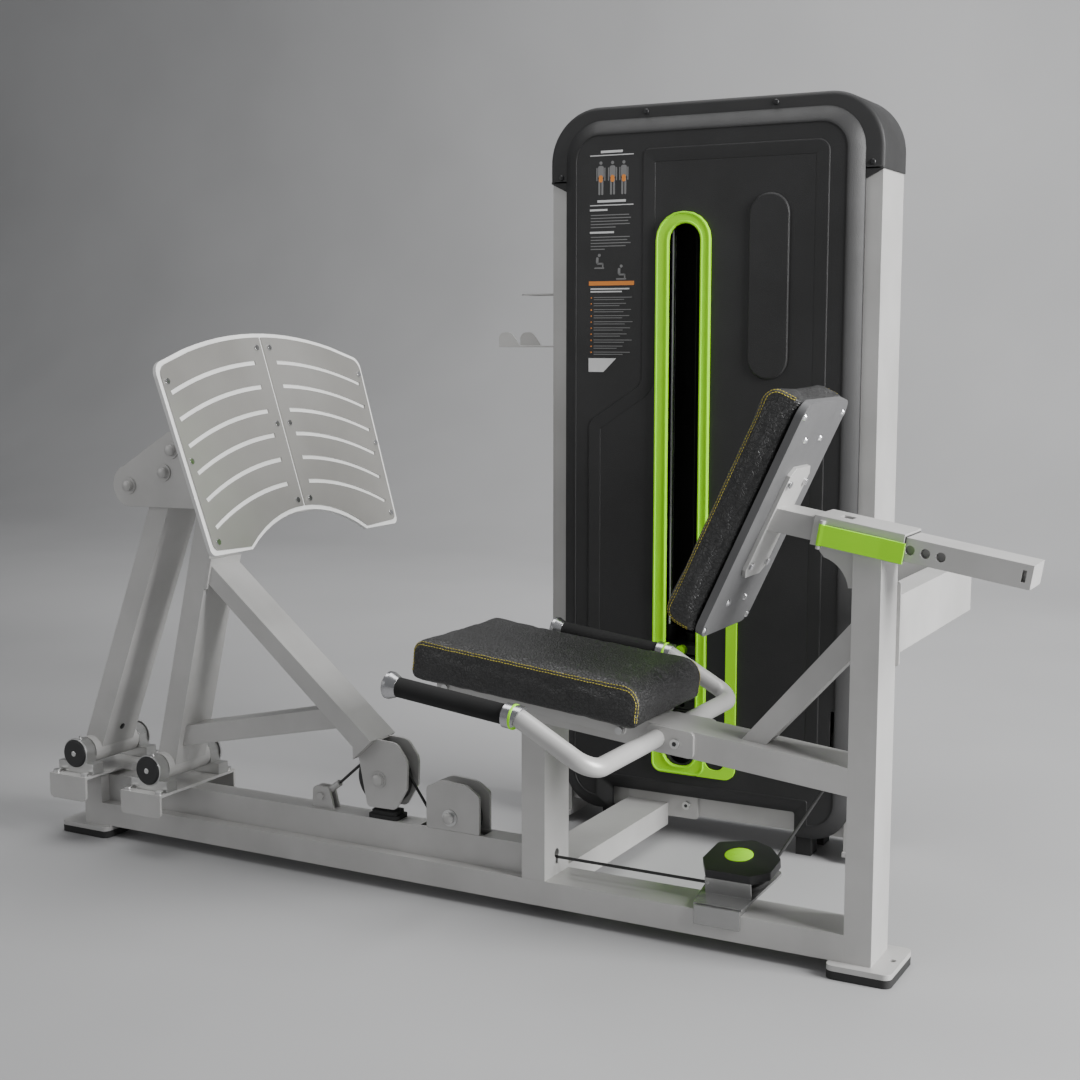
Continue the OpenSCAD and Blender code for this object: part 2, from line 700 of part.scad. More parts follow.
module back_pad() {
  color(black) back_frame() side(mid - back_half, mid + back_half)
    polygon(rounded([[-606, 402], [-538, 402], [-538, 866], [-606, 866]], [28, 8, 8, 28]));
}

module back_rivets() {
  color(steel) back_frame() {
    for (p = [[835, 100.5], [788, 39], [466, 41], [419, 101]]) for (s = [-1, 1])
      translate([-524, mid + s * p[1], p[0]]) rotate([0, 90, 0]) cylinder(r1 = 8, r2 = 5, h = 3);
    for (p = [[707, 40], [545, 40]]) for (s = [-1, 1])
      translate([-517, mid + s * p[1], p[0]]) rotate([0, 90, 0]) cylinder(r = 7, h = 5);
  }
}

module release_lever() {
  color(green) slide_frame() difference() {
    union() {
      translate([-66, -6.5, -23.8]) cylinder(r = 5, h = 37.6);
      translate([0, 0, -22.5]) linear_extrude(35.5)
        polygon([[-66, -11.5], [-60, -11], [40, -11], [82, -13], [82, -9.5], [40, -4], [-60, -3.6], [-64, -3.6]]);
    }
    translate([-66, -6.5, -30]) cylinder(r = 2.5 + run_gap, h = 60);
  }
}

module lock_pin() {
  color(steel) slide_frame() {
    rod_y(33, 0, 7.5, -1.5, 8.8);
    rod_y(33, 0, 9, -3, -0.9);
  }
}

// everything above is drawn from the back post's near corner
module put() { translate([812.5, -235, 0]) children(); }

put() base_beam();
put() raised_beam();
put() seat_post();
put() seat_beam();
put() back_post();
put() seat_brace();
put() cross_beam();
put() tie_beam();
put() sleeve();
put() sleeve_liner();
put() floor_pads();
put() bearing_brackets();
put() bearing_housings();
put() bearing_caps();
put() bumper();
put() cable_anchor();
put() fixed_housing();
put() corner_bracket();
put() corner_cover();
put() seat_bracket();
put() seat_pad();
put() handle_tubes();
put() handle_grips();
put() handle_ends();
put() frame_bolts();
put() tower_uprights();
put() tower_rails();
put() top_cap();
put() front_shroud();
put() rear_shroud();
put() window_trim();
put() guide_rods();
put() weight_stack();
put() bottle_holder();
put() cable_press();
put() cable_run();
put() cable_stack();
put() top_plate();
put() selector_pin();
put() top_pulley_left();
put() top_pulley_right();
put() tower_pulley();
put() corner_pulley();
put() fixed_pulley();
put() moving_pulley();
put() moving_housing();
put() rear_leg();
put() front_leg();
put() press_braces();
put() head_bracket();
put() head_pins();
put() foot_base();
put() foot_panels();
put() foot_screws();
put() adjust_tube();
put() back_board();
put() back_pad();
put() back_rivets();
put() release_lever();
put() lock_pin();
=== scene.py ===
"""Looks for the seated leg press: materials, padded seat and back with their stitching,
small fittings, cables that follow the press, floor, light and camera."""
import bpy, bmesh, json, math, random
from mathutils import Matrix, Vector
from mathutils.bvhtree import BVHTree


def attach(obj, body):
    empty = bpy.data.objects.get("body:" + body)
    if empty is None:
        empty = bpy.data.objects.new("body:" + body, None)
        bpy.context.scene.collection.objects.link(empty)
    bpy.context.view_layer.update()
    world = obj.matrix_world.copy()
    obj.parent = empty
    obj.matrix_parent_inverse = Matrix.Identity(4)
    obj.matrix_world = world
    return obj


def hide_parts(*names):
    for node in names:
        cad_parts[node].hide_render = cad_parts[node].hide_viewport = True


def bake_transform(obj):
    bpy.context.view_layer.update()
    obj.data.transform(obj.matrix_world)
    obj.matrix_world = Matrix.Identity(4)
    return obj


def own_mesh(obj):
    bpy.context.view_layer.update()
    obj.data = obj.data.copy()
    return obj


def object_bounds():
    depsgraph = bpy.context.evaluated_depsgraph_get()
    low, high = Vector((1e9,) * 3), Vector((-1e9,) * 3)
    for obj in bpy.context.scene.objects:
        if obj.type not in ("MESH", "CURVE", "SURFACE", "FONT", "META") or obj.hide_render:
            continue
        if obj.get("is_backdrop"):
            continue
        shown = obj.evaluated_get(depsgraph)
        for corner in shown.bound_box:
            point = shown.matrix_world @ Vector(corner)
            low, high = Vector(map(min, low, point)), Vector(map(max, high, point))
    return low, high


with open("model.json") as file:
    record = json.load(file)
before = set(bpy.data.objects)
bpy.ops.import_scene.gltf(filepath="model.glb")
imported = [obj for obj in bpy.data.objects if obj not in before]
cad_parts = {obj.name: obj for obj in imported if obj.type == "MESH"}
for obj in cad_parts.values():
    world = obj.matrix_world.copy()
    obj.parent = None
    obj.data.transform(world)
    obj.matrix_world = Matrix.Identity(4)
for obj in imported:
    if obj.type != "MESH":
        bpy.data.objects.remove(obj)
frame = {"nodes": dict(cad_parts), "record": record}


def flat_numbers(v):
    if isinstance(v, (int, float)):
        return [float(v)]
    return [n for item in v for n in flat_numbers(item)]


cad_bounds = flat_numbers(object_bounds())
random.seed(7)


# ---------- places ----------
def P(x, y, z):
    """Millimetres from the back post's near corner, as in the CAD source, to metres in the row frame."""
    return Vector(((x + 812.5) / 1000, (y - 235) / 1000, z / 1000))


def tilted(origin, degrees):
    """A working frame in millimetres, turned about the machine's Y axis."""
    return Matrix.Translation(P(*origin)) @ Matrix.Rotation(math.radians(degrees), 4, "Y") @ Matrix.Scale(0.001, 4)


SEAT = tilted((-645, 0, 430), 5.9)
SLIDE = tilted((-40, 0, 771.5), 9.2)
BACK = tilted((0, 0, 0), 25)
FOOT = tilted((0, 0, 0), -17.5)
CORNER = Matrix.Translation(P(-287, 101.3, 119.6)) @ Matrix.Rotation(math.radians(9.5), 4, "X") @ Matrix.Scale(0.001, 4)
UPRIGHT = Matrix.Translation(P(0, 0, 0)) @ Matrix.Scale(0.001, 4)


# ---------- materials ----------
class Mat:
    """One procedural material on a principled shader, in object space so that nothing needs UVs."""

    def __init__(self, name, rough, metallic=0.0, **socket_shade_discs):
        self.m = bpy.data.materials.new(name)
        self.m.use_nodes = True
        self.t = self.m.node_tree
        self.b = self.t.nodes["Principled BSDF"]
        self.b.inputs["Metallic"].default_value = metallic
        self.b.inputs["Roughness"].default_value = rough
        for key, value in socket_shade_discs.items():
            self.b.inputs[key.replace("_", " ")].default_value = value
        self.pos = self.t.nodes.new("ShaderNodeTexCoord").outputs["Object"]

    def node(self, kind, **values):
        n = self.t.nodes.new("ShaderNode" + kind)
        for key, value in values.items():
            if hasattr(n, key):
                setattr(n, key, value)
            else:
                n.inputs[key.replace("_", " ")].default_value = value
        return n

    def link(self, a, b):
        self.t.links.new(a, b)

    def stretched(self, scale, rotation=(0, 0, 0)):
        n = self.node("Mapping")
        n.inputs["Scale"].default_value = scale
        n.inputs["Rotation"].default_value = rotation
        self.link(self.pos, n.inputs["Vector"])
        return n.outputs["Vector"]

    def noise(self, scale, detail=3.0, rough=0.5, vector=None):
        n = self.node("TexNoise", Scale=scale, Detail=detail, Roughness=rough)
        self.link(vector or self.pos, n.inputs["Vector"])
        return n.outputs["Fac"]

    def cells(self, scale, feature="F1", vector=None):
        n = self.node("TexVoronoi", feature=feature, Scale=scale)
        self.link(vector or self.pos, n.inputs["Vector"])
        return n.outputs["Distance"]

    def ramp(self, fac, a, b, lo=0.35, hi=0.65):
        n = self.node("ValToRGB")
        n.color_ramp.elements[0].position, n.color_ramp.elements[0].color = lo, (*a, 1)
        n.color_ramp.elements[1].position, n.color_ramp.elements[1].color = hi, (*b, 1)
        self.link(fac, n.inputs["Fac"])
        return n.outputs["Color"]

    def span(self, fac, lo, hi):
        n = self.node("MapRange")
        n.inputs["To Min"].default_value = lo
        n.inputs["To Max"].default_value = hi
        self.link(fac, n.inputs["Value"])
        return n.outputs["Result"]

    def mix(self, fac, a, b):
        n = self.node("Mix", data_type="RGBA")
        self.link(fac, n.inputs[0])
        for source, socket in ((a, n.inputs[6]), (b, n.inputs[7])):
            if isinstance(source, tuple):
                socket.default_value = (*source, 1)
            else:
                self.link(source, socket)
        return n.outputs[2]

    def colour(self, source):
        self.link(source, self.b.inputs["Base Color"])

    def roughness(self, source):
        self.link(source, self.b.inputs["Roughness"])

    def bump(self, layers, bevel=0.0):
        """layers: (height output, strength, distance in metres), coarse to fine."""
        normal = None
        if bevel:
            n = self.node("Bevel", samples=4, Radius=bevel)
            normal = n.outputs["Normal"]
        for height, strength, distance in layers:
            n = self.node("Bump", Strength=strength, Distance=distance)
            self.link(height, n.inputs["Height"])
            if normal:
                self.link(normal, n.inputs["Normal"])
            normal = n.outputs["Normal"]
        self.link(normal, self.b.inputs["Normal"])
        return self.m


def paint(name, a, b, rough=0.42, metallic=0.0, bevel=0.0012, peel=0.06, coat=0.0):
    """Powder coat: faint cloudy tone, tiny orange peel and slightly uneven gloss."""
    m = Mat(name, rough, metallic, Coat_Weight=coat)
    m.colour(m.ramp(m.noise(5, 4, 0.55), a, b))
    m.roughness(m.span(m.noise(14, 4, 0.6), rough - 0.05, rough + 0.07))
    return m.bump([(m.noise(420, 2, 0.5), peel, 0.0004)], bevel)


def plastic(name, a, b, rough=0.5, grain=700, depth=0.25, bevel=0.001, specular=0.5):
    m = Mat(name, rough, Specular_IOR_Level=specular)
    m.colour(m.ramp(m.noise(3.5, 5, 0.6), a, b))
    m.roughness(m.span(m.noise(30, 4, 0.6), rough - 0.06, rough + 0.08))
    return m.bump([(m.noise(grain, 2, 0.6), depth, 0.0006)], bevel)


def metal(name, a, b, rough=0.2, stretch=(1, 1, 1), streak=0.08, bevel=0.0006):
    """Polished or brushed metal with fine streaks and handling smudges."""
    m = Mat(name, rough, 1.0)
    m.colour(m.ramp(m.noise(9, 4, 0.6), a, b))
    lines = m.noise(160, 5, 0.7, m.stretched(stretch))
    smudge = m.noise(11, 5, 0.65)
    add = m.node("Math", operation="ADD")
    m.link(m.span(lines, -streak * 0.5, streak * 0.5), add.inputs[0])
    m.link(m.span(smudge, rough * 0.6, rough * 1.5), add.inputs[1])
    m.roughness(add.outputs[0])
    return m.bump([(lines, streak * 0.5, 0.0002)], bevel)


def plate_steel(name):
    """Satin steel sheet: half mirror, half milky film, with long soft streaks."""
    m = Mat(name, 0.2, 0.45, Specular_IOR_Level=0.7)
    m.colour(m.ramp(m.noise(3, 4, 0.55), (0.26, 0.255, 0.24), (0.32, 0.315, 0.30)))
    streaks = m.noise(60, 4, 0.6, m.stretched((1, 0.05, 1)))
    m.roughness(m.span(streaks, 0.14, 0.26))
    return m.bump([(streaks, 0.03, 0.0002)])


def leather(name):
    """Black grained upholstery: pebbled cells split by creases. The creases are painted near black as painted shade, so
    the cell tops read slightly lighter.
    """
    m = Mat(name, 0.4, Specular_IOR_Level=0.6)
    warp = m.node("Mix", data_type="RGBA")
    warp.inputs[0].default_value = 0.012
    m.link(m.pos, warp.inputs[6])
    wobble = m.node("TexNoise", Scale=60.0, Detail=3.0)
    m.link(m.pos, wobble.inputs["Vector"])
    m.link(wobble.outputs["Color"], warp.inputs[7])
    cell = m.cells(150, "DISTANCE_TO_EDGE", warp.outputs[2])
    cell_n = m.node("MapRange")
    cell_n.inputs["From Max"].default_value = 0.2
    m.link(cell, cell_n.inputs["Value"])
    pebble_and_crease_shade = cell_n.outputs["Result"]
    broad = m.noise(26, 4, 0.6)
    tone = m.ramp(broad, (0.017, 0.017, 0.017), (0.032, 0.032, 0.032), 0.3, 0.72)
    # painted shade: the colour drops to near black along the creases between the pebbles
    m.colour(m.mix(pebble_and_crease_shade, (0.005, 0.005, 0.005), tone))
    m.roughness(m.span(m.noise(45, 4, 0.6), 0.36, 0.52))
    return m.bump([(m.noise(16, 3, 0.5), 0.3, 0.004), (m.noise(75, 4, 0.6), 0.6, 0.0016), (pebble_and_crease_shade, 0.8, 0.0009)])


def thread(name, a, b):
    m = Mat(name, 0.6)
    m.colour(m.ramp(m.noise(900, 2, 0.5), a, b))
    return m.bump([(m.noise(2600, 1, 0.5), 0.4, 0.0002)])


MATS = {
    "frame_paint": paint("frame paint", (0.43, 0.425, 0.415), (0.50, 0.495, 0.485), 0.38, 0.25),
    "bracket_grey": paint("bracket steel", (0.30, 0.30, 0.295), (0.38, 0.38, 0.375), 0.24, 0.7),
    "cast_housing": paint("cast housing", (0.42, 0.42, 0.41), (0.56, 0.56, 0.55), 0.28, 0.85, 0.003, 0.5),
    "shroud_plastic": plastic("shroud plastic", (0.019, 0.019, 0.019), (0.026, 0.026, 0.0265), 0.5, 520, 0.6, 0.004, 0.4),
    "black_plastic": plastic("black plastic", (0.010, 0.010, 0.011), (0.016, 0.016, 0.017), 0.38, 900, 0.15),
    "liner_plastic": plastic("liner plastic", (0.008, 0.008, 0.008), (0.013, 0.013, 0.013), 0.35, 900, 0.1),
    "green_plastic": plastic("green plastic", (0.36, 0.92, 0.002), (0.42, 0.97, 0.004), 0.36, 800, 0.06, 0.001, 0.3),
    "floor_rubber": plastic("floor rubber", (0.012, 0.012, 0.012), (0.022, 0.022, 0.022), 0.75, 500, 0.4),
    "grip_foam": plastic("grip foam", (0.007, 0.007, 0.007), (0.014, 0.014, 0.014), 0.8, 1400, 0.9, 0.001, 0.3),
    "pad_leather": leather("pad leather"),
    "board_plastic": plastic("board plastic", (0.085, 0.085, 0.087), (0.115, 0.115, 0.117), 0.45, 800, 0.12, 0.0015),
    "plate_grey": paint("foot plate rim", (0.60, 0.60, 0.59), (0.68, 0.68, 0.67), 0.35, 0.1),
    "panel_steel": plate_steel("foot panel steel"),
    "chrome": metal("chrome", (0.58, 0.58, 0.59), (0.7, 0.7, 0.71), 0.2),
    "bright_steel": metal("bright steel", (0.55, 0.55, 0.55), (0.66, 0.66, 0.65), 0.34),
    "aluminium": metal("turned aluminium", (0.40, 0.40, 0.41), (0.52, 0.52, 0.53), 0.26),
    "weight_black": paint("weight iron", (0.018, 0.018, 0.019), (0.03, 0.03, 0.031), 0.5, 0.2, 0.001, 0.5),
    "pulley_plastic": plastic("pulley nylon", (0.012, 0.012, 0.012), (0.02, 0.02, 0.02), 0.45, 900, 0.1),
    "cable_black": plastic("cable coat", (0.010, 0.010, 0.010), (0.02, 0.02, 0.02), 0.4, 1500, 0.3, 0.0),
}
THREAD = thread("yellow thread", (0.42, 0.34, 0.02), (0.62, 0.52, 0.05))
WHITE = plastic("print white", (0.55, 0.55, 0.55), (0.66, 0.66, 0.66), 0.5, 900, 0.05, 0.0)
GREY = plastic("print grey", (0.16, 0.16, 0.16), (0.2, 0.2, 0.2), 0.5, 900, 0.05, 0.0)
ORANGE = plastic("print orange", (0.62, 0.20, 0.03), (0.72, 0.25, 0.04), 0.5, 900, 0.05, 0.0)
# painted shade: near-black colour for the flat hex discs that stand in for the shaded bolt socket recesses
SOCKET_SHADE = plastic("socket painted shade", (0.015, 0.015, 0.015), (0.03, 0.03, 0.03), 0.5, 900, 0.1, 0.0)

slot_of = {}
for sub in frame["record"]["subparts"]:
    slot_of[sub["node"]] = sub["material_slot"]
for name, obj in frame["nodes"].items():
    for s in obj.material_slots:
        s.material = MATS[slot_of[name]]


# ---------- mesh helpers ----------
def piece(name, verts, faces, material, body="frame", smooth=40):
    me = bpy.data.meshes.new(name)
    me.from_pydata([tuple(v) for v in verts], [], faces)
    return finish_piece(name, me, material, body, smooth)


def finish_piece(name, me, material, body="frame", smooth=40):
    obj = bpy.data.objects.new(name, me)
    bpy.context.collection.objects.link(obj)
    me.materials.append(material)
    bm = bmesh.new()
    bm.from_mesh(me)
    bmesh.ops.recalc_face_normals(bm, faces=bm.faces)
    for f in bm.faces:
        f.smooth = True
    for e in bm.edges:
        e.smooth = not (len(e.link_faces) == 2 and e.calc_face_angle(0) > math.radians(smooth))
    bm.to_mesh(me)
    bm.free()
    if body:
        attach(obj, body)
    return obj


class Build:
    """Collects several shapes into one mesh piece, each placed by a matrix in millimetres."""

    def __init__(self):
        self.verts, self.faces = [], []

    def add(self, frame_m, verts, faces):
        n = len(self.verts)
        self.verts += [frame_m @ Vector(v) for v in verts]
        self.faces += [[i + n for i in f] for f in faces]

    def lathe(self, frame_m, profile, n=28):
        """profile: (radius, height) points, turned about the local Z axis."""
        verts, faces = [], []
        for r, z in profile:
            verts += [(r * math.cos(2 * math.pi * k / n), r * math.sin(2 * math.pi * k / n), z) for k in range(n)]
        for i in range(len(profile) - 1):
            for k in range(n):
                faces.append([i * n + k, i * n + (k + 1) % n, (i + 1) * n + (k + 1) % n, (i + 1) * n + k])
        faces.append(list(range(n - 1, -1, -1)))
        faces.append([(len(profile) - 1) * n + k for k in range(n)])
        self.add(frame_m, verts, faces)

    def slab(self, frame_m, outline, z0, z1, bevel=0.0):
        """A flat outline given thickness, with a chamfer round its top."""
        n = len(outline)
        cx = sum(p[0] for p in outline) / n
        cy = sum(p[1] for p in outline) / n
        rings = [(0.0, z0), (0.0, z1 - bevel)] + ([(bevel, z1)] if bevel else [])
        verts = []
        for inset, z in rings:
            for x, y in outline:
                d = math.hypot(x - cx, y - cy) or 1
                verts.append((x - inset * (x - cx) / d, y - inset * (y - cy) / d, z))
        faces = [list(range(n - 1, -1, -1))]
        for i in range(len(rings) - 1):
            for k in range(n):
                faces.append([i * n + k, i * n + (k + 1) % n, (i + 1) * n + (k + 1) % n, (i + 1) * n + k])
        faces.append([(len(rings) - 1) * n + k for k in range(n)])
        self.add(frame_m, verts, faces)

    def make(self, name, material, body="frame", slot=None, smooth=35):
        return piece(name, self.verts, self.faces, material, body, smooth)


def facing(frame_m, origin, direction):
    """A frame whose local Z looks along direction, starting at origin, both in the given frame."""
    rot = Vector(direction).normalized().to_track_quat("Z", "Y").to_matrix().to_4x4()
    return frame_m @ Matrix.Translation(Vector(origin)) @ rot


def pill(x0, y0, x1, y1, r, n=8):
    pts = []
    for cx, cy, a in ((x1 - r, y1 - r, 0), (x0 + r, y1 - r, 90), (x0 + r, y0 + r, 180), (x1 - r, y0 + r, 270)):
        for k in range(n + 1):
            t = math.radians(a + 90 * k / n)
            pts.append((cx + r * math.cos(t), cy + r * math.sin(t)))
    return pts


# ---------- padded seat and back ----------
def rounded(points, radii, step=6.0):
    """An outline with rounded corners, resampled to about one point every step millimetres."""
    out = []
    n = len(points)
    for i in range(n):
        a, b, c = Vector(points[i - 1]), Vector(points[i]), Vector(points[(i + 1) % n])
        u, v = (a - b).normalized(), (c - b).normalized()
        half = u.angle(v) / 2
        m = b + (u + v).normalized() * radii[i] / math.sin(half)
        s, e = b + u * radii[i] / math.tan(half) - m, b + v * radii[i] / math.tan(half) - m
        turn = s.angle_signed(e)
        for k in range(7):
            t = -turn * k / 6
            out.append(m + Vector((s.x * math.cos(t) - s.y * math.sin(t), s.x * math.sin(t) + s.y * math.cos(t))))
    fine = []
    for i in range(len(out)):
        p, q = out[i - 1], out[i]
        count = max(1, int((q - p).length / step))
        fine += [p.lerp(q, k / count) for k in range(count)]
    return fine


def swollen(name, outline, y0, y1, frame_m, pressure, cap, edge):
    """A pad from a side outline: chamfered, remeshed, blown up a little as cloth, and capped."""
    pts = rounded(*outline)
    n = len(pts)
    verts, faces = [], []
    rows = [(y0, edge), (y0 + edge * 0.3, edge * 0.3), (y0 + edge, 0)]
    cols = max(2, int((y1 - y0 - 2 * edge) / 8))
    rows += [(y0 + edge + (y1 - y0 - 2 * edge) * k / cols, 0) for k in range(1, cols)]
    rows += [(y1 - edge, 0), (y1 - edge * 0.3, edge * 0.3), (y1, edge)]
    c = sum(pts, Vector((0, 0))) / n
    lo = Vector((min(p.x for p in pts), min(p.y for p in pts)))
    hi = Vector((max(p.x for p in pts), max(p.y for p in pts)))
    half = (hi - lo) / 2
    mid = (hi + lo) / 2
    for y, inset in rows:
        for p in pts:
            q = Vector((mid.x + (p.x - mid.x) * (half.x - inset) / half.x, mid.y + (p.y - mid.y) * (half.y - inset) / half.y))
            verts.append(frame_m @ Vector((q.x, y, q.y)))
    for i in range(len(rows) - 1):
        for k in range(n):
            faces.append([i * n + k, i * n + (k + 1) % n, (i + 1) * n + (k + 1) % n, (i + 1) * n + k])
    faces.append(list(range(n)))
    faces.append([(len(rows) - 1) * n + k for k in range(n - 1, -1, -1)])
    me = bpy.data.meshes.new(name)
    me.from_pydata([tuple(v) for v in verts], [], faces)
    obj = bpy.data.objects.new(name, me)
    bpy.context.collection.objects.link(obj)
    bm = bmesh.new()
    bm.from_mesh(me)
    bmesh.ops.recalc_face_normals(bm, faces=bm.faces)
    bm.to_mesh(me)
    bm.free()
    bpy.context.view_layer.objects.active = obj
    for o in bpy.context.selected_objects:
        o.select_set(False)
    obj.select_set(True)
    rm = obj.modifiers.new("remesh", "REMESH")
    rm.mode = "VOXEL"
    rm.voxel_size = 0.005
    bpy.ops.object.modifier_apply(modifier="remesh")
    start = [v.co.copy() for v in obj.data.vertices]
    cl = obj.modifiers.new("cloth", "CLOTH")
    cl.settings.use_pressure = True
    cl.settings.uniform_pressure_force = pressure
    cl.settings.effector_weights.gravity = 0
    cl.settings.tension_stiffness = 40
    cl.settings.compression_stiffness = 40
    cl.settings.quality = 5
    scene = bpy.context.scene
    for f in range(1, 21):
        scene.frame_set(f)
    bpy.ops.object.modifier_apply(modifier="cloth")
    for v, s in zip(obj.data.vertices, start):
        d = v.co - s
        if d.length > cap:
            v.co = s + d.normalized() * cap
    scene.frame_set(1)
    return obj


def seam_and_subdivide(obj, paths, depth, width):
    """Subdivides the pad once and presses a shallow seam into it along the given lines."""
    sub = obj.modifiers.new("sub", "SUBSURF")
    sub.levels = sub.render_levels = 1
    bpy.context.view_layer.objects.active = obj
    bpy.ops.object.modifier_apply(modifier="sub")
    from mathutils.kdtree import KDTree
    pts = [p for path in paths for p in path]
    tree = KDTree(len(pts))
    for i, p in enumerate(pts):
        tree.insert(p, i)
    tree.balance()
    me = obj.data
    normals = [v.normal.copy() for v in me.vertices]
    for v, nrm in zip(me.vertices, normals):
        d = tree.find(v.co)[2]
        if d < width * 3:
            v.co -= nrm * depth * math.exp(-(d / width) ** 2)
    for f in me.polygons:
        f.use_smooth = True


def on_surface(tree, path):
    out = []
    for p in path:
        loc, nrm, _, _ = tree.find_nearest(p)
        out.append((loc, nrm))
    return out


def resample(path, step):
    out = [path[0]]
    left = step
    for a, b in zip(path, path[1:]):
        d = (b - a).length
        t = 0.0
        while d - t >= left:
            t += left
            out.append(a.lerp(b, t / d))
            left = step
        left -= d - t
    return out


def stitches(name, tree, lines, body, length=0.0042, gap=0.0019, r=0.00065):
    """Rows of short thread loops lying on the pad, one per stitch."""
    b = Build()
    for line in lines:
        marks = on_surface(tree, resample(line, length + gap))
        for (p, n0), (q, n1) in zip(marks, marks[1:]):
            along = (q - p)
            if along.length < 1e-5:
                continue
            along.normalize()
            up = (n0 + n1).normalized()
            side = along.cross(up).normalized()
            verts = []
            rings = 5
            for i in range(rings):
                t = i / (rings - 1)
                swell = math.sin(math.pi * (0.12 + 0.76 * t))
                c = p + along * length * t + up * (r * (swell - 0.35))
                for k in range(6):
                    a = 2 * math.pi * k / 6
                    verts.append(c + (side * math.cos(a) + up * math.sin(a)) * r * (0.55 + 0.45 * swell))
            faces = [[5 - k for k in range(6)], [(rings - 1) * 6 + k for k in range(6)]]
            for i in range(rings - 1):
                for k in range(6):
                    faces.append([i * 6 + k, i * 6 + (k + 1) % 6, (i + 1) * 6 + (k + 1) % 6, (i + 1) * 6 + k])
            n = len(b.verts)
            b.verts += verts
            b.faces += [[i + n for i in f] for f in faces]
    return b.make(name, THREAD, body, None, 60)


def part_path(outline, keep, inset=0.0):
    """The stretch of the side outline where keep(point) holds, in order, pulled in by inset."""
    pts = rounded(*outline, step=3.0)
    n = len(pts)
    flags = [keep(p) for p in pts]
    start = next(i for i in range(n) if flags[i] and not flags[i - 1])
    out = []
    for k in range(n):
        i = (start + k) % n
        if not flags[i]:
            break
        d = (pts[(i + 1) % n] - pts[i - 1]).normalized()
        out.append(pts[i] + Vector((-d.y, d.x)) * inset)
    return out


def make_pad(name, outline, y0, y1, frame_m, node, body, keep, cap):
    obj = swollen(name, outline, y0, y1, frame_m, 4.0, cap, 7.0)
    seams, rows = [], []
    for y, s in ((y0, 1), (y1, -1)):
        line = part_path(outline, keep)
        seams.append([frame_m @ Vector((p.x, y + s * 2.0, p.y)) for p in line])
        rows.append([frame_m @ Vector((p.x, y + s * 5.5, p.y)) for p in line])
        inner = part_path(outline, keep, INSET[name])
        rows.append([frame_m @ Vector((p.x, y, p.y)) for p in inner])
    seam_and_subdivide(obj, seams, 0.0012, 0.0022)
    tree = BVHTree.FromObject(obj, bpy.context.evaluated_depsgraph_get())
    me = obj.data
    me.materials.clear()
    me.materials.append(MATS["pad_leather"])
    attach(obj, body)
    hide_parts(node)
    stitches(name + "_stitching", tree, rows, body)
    return obj


INSET = {"seat_cushion": 5.5, "back_cushion": 5.5}
SEAT_OUT = ([(-243, 12.7), (240, 12.7), (240, 88.7), (-243, 88.7)], [12, 12, 34, 22])
BACK_OUT = ([(-603, 405), (-540, 405), (-540, 863), (-603, 863)], [28, 5, 5, 28])
make_pad("seat_cushion", SEAT_OUT, -99, 199, SEAT, "seat_pad", "frame", lambda p: p.y > 24, 0.005)
make_pad("back_cushion", BACK_OUT, -67.5, 167.5, BACK, "back_pad", "backrest", lambda p: p.x < -546, 0.005)


# ---------- cables that follow the press ----------
def tube(name, path, r, material, n=10):
    verts, faces = [], []
    m = len(path)
    side0 = Vector((0, 1, 0))
    for i, p in enumerate(path):
        d = (path[min(i + 1, m - 1)] - path[max(i - 1, 0)]).normalized()
        u = side0 - d * side0.dot(d)
        if u.length < 0.2:
            u = Vector((1, 0, 0)) - d * d.x
        u.normalize()
        v = d.cross(u)
        verts += [p + (u * math.cos(2 * math.pi * k / n) + v * math.sin(2 * math.pi * k / n)) * r for k in range(n)]
    for i in range(m - 1):
        for k in range(n):
            faces.append([i * n + k, i * n + (k + 1) % n, (i + 1) * n + (k + 1) % n, (i + 1) * n + k])
    faces.append(list(range(n - 1, -1, -1)))
    faces.append([(m - 1) * n + k for k in range(n)])
    return piece(name, verts, faces, material, None, 60)


def straight(a, b, n=14):
    return [a.lerp(b, k / n) for k in range(n + 1)]


def ring_point(c, r, deg):
    return P(c[0] + r * math.cos(math.radians(deg)), 50, c[1] + r * math.sin(math.radians(deg)))


MOVING, FIXED = (-1038, 217.5), (-870, 161.3)
anchor_end = P(-1150.5, 50, 190.7)
on_tan, off_tan = ring_point(MOVING, 54, 130.8), ring_point(MOVING, 54, 35.2)
fixed_tan = P(-911.7, 50, 131.9)
first = tube("cable_anchor_side", straight(anchor_end, on_tan), 0.003, MATS["cable_black"])
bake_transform(first)
over = tube("cable_over_sheave", [ring_point(MOVING, 54, 130.8 - 95.6 * k / 16) for k in range(17)], 0.003, MATS["cable_black"])
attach(over, "front_leg_arm")
second = tube("cable_fixed_side", straight(off_tan, fixed_tan), 0.003, MATS["cable_black"])
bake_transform(second)
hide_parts("cable_press")
drop = tube("cable_to_carriage", straight(P(-620, 660, 455), P(-620, 660, 1440), 20), 0.003, MATS["cable_black"])
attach(drop, "frame")
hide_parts("cable_stack")
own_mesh(drop)


# ---------- small fittings ----------
def domes(name, spots, faces, r, body):
    """Rounded crowns on the axle bolt heads of both sides."""
    b = Build()
    for x, z in spots:
        for y, d in zip(faces, (-1, 1)):
            f = facing(UPRIGHT, (x, y, z), (0, d, 0))
            b.lathe(f, [(r, -0.4), (r * 0.96, 1.2), (r * 0.8, 2.4), (r * 0.4, 3.2), (0.01, 3.4)], 28)
    b.make(name, MATS["frame_paint"], body, "frame_paint")


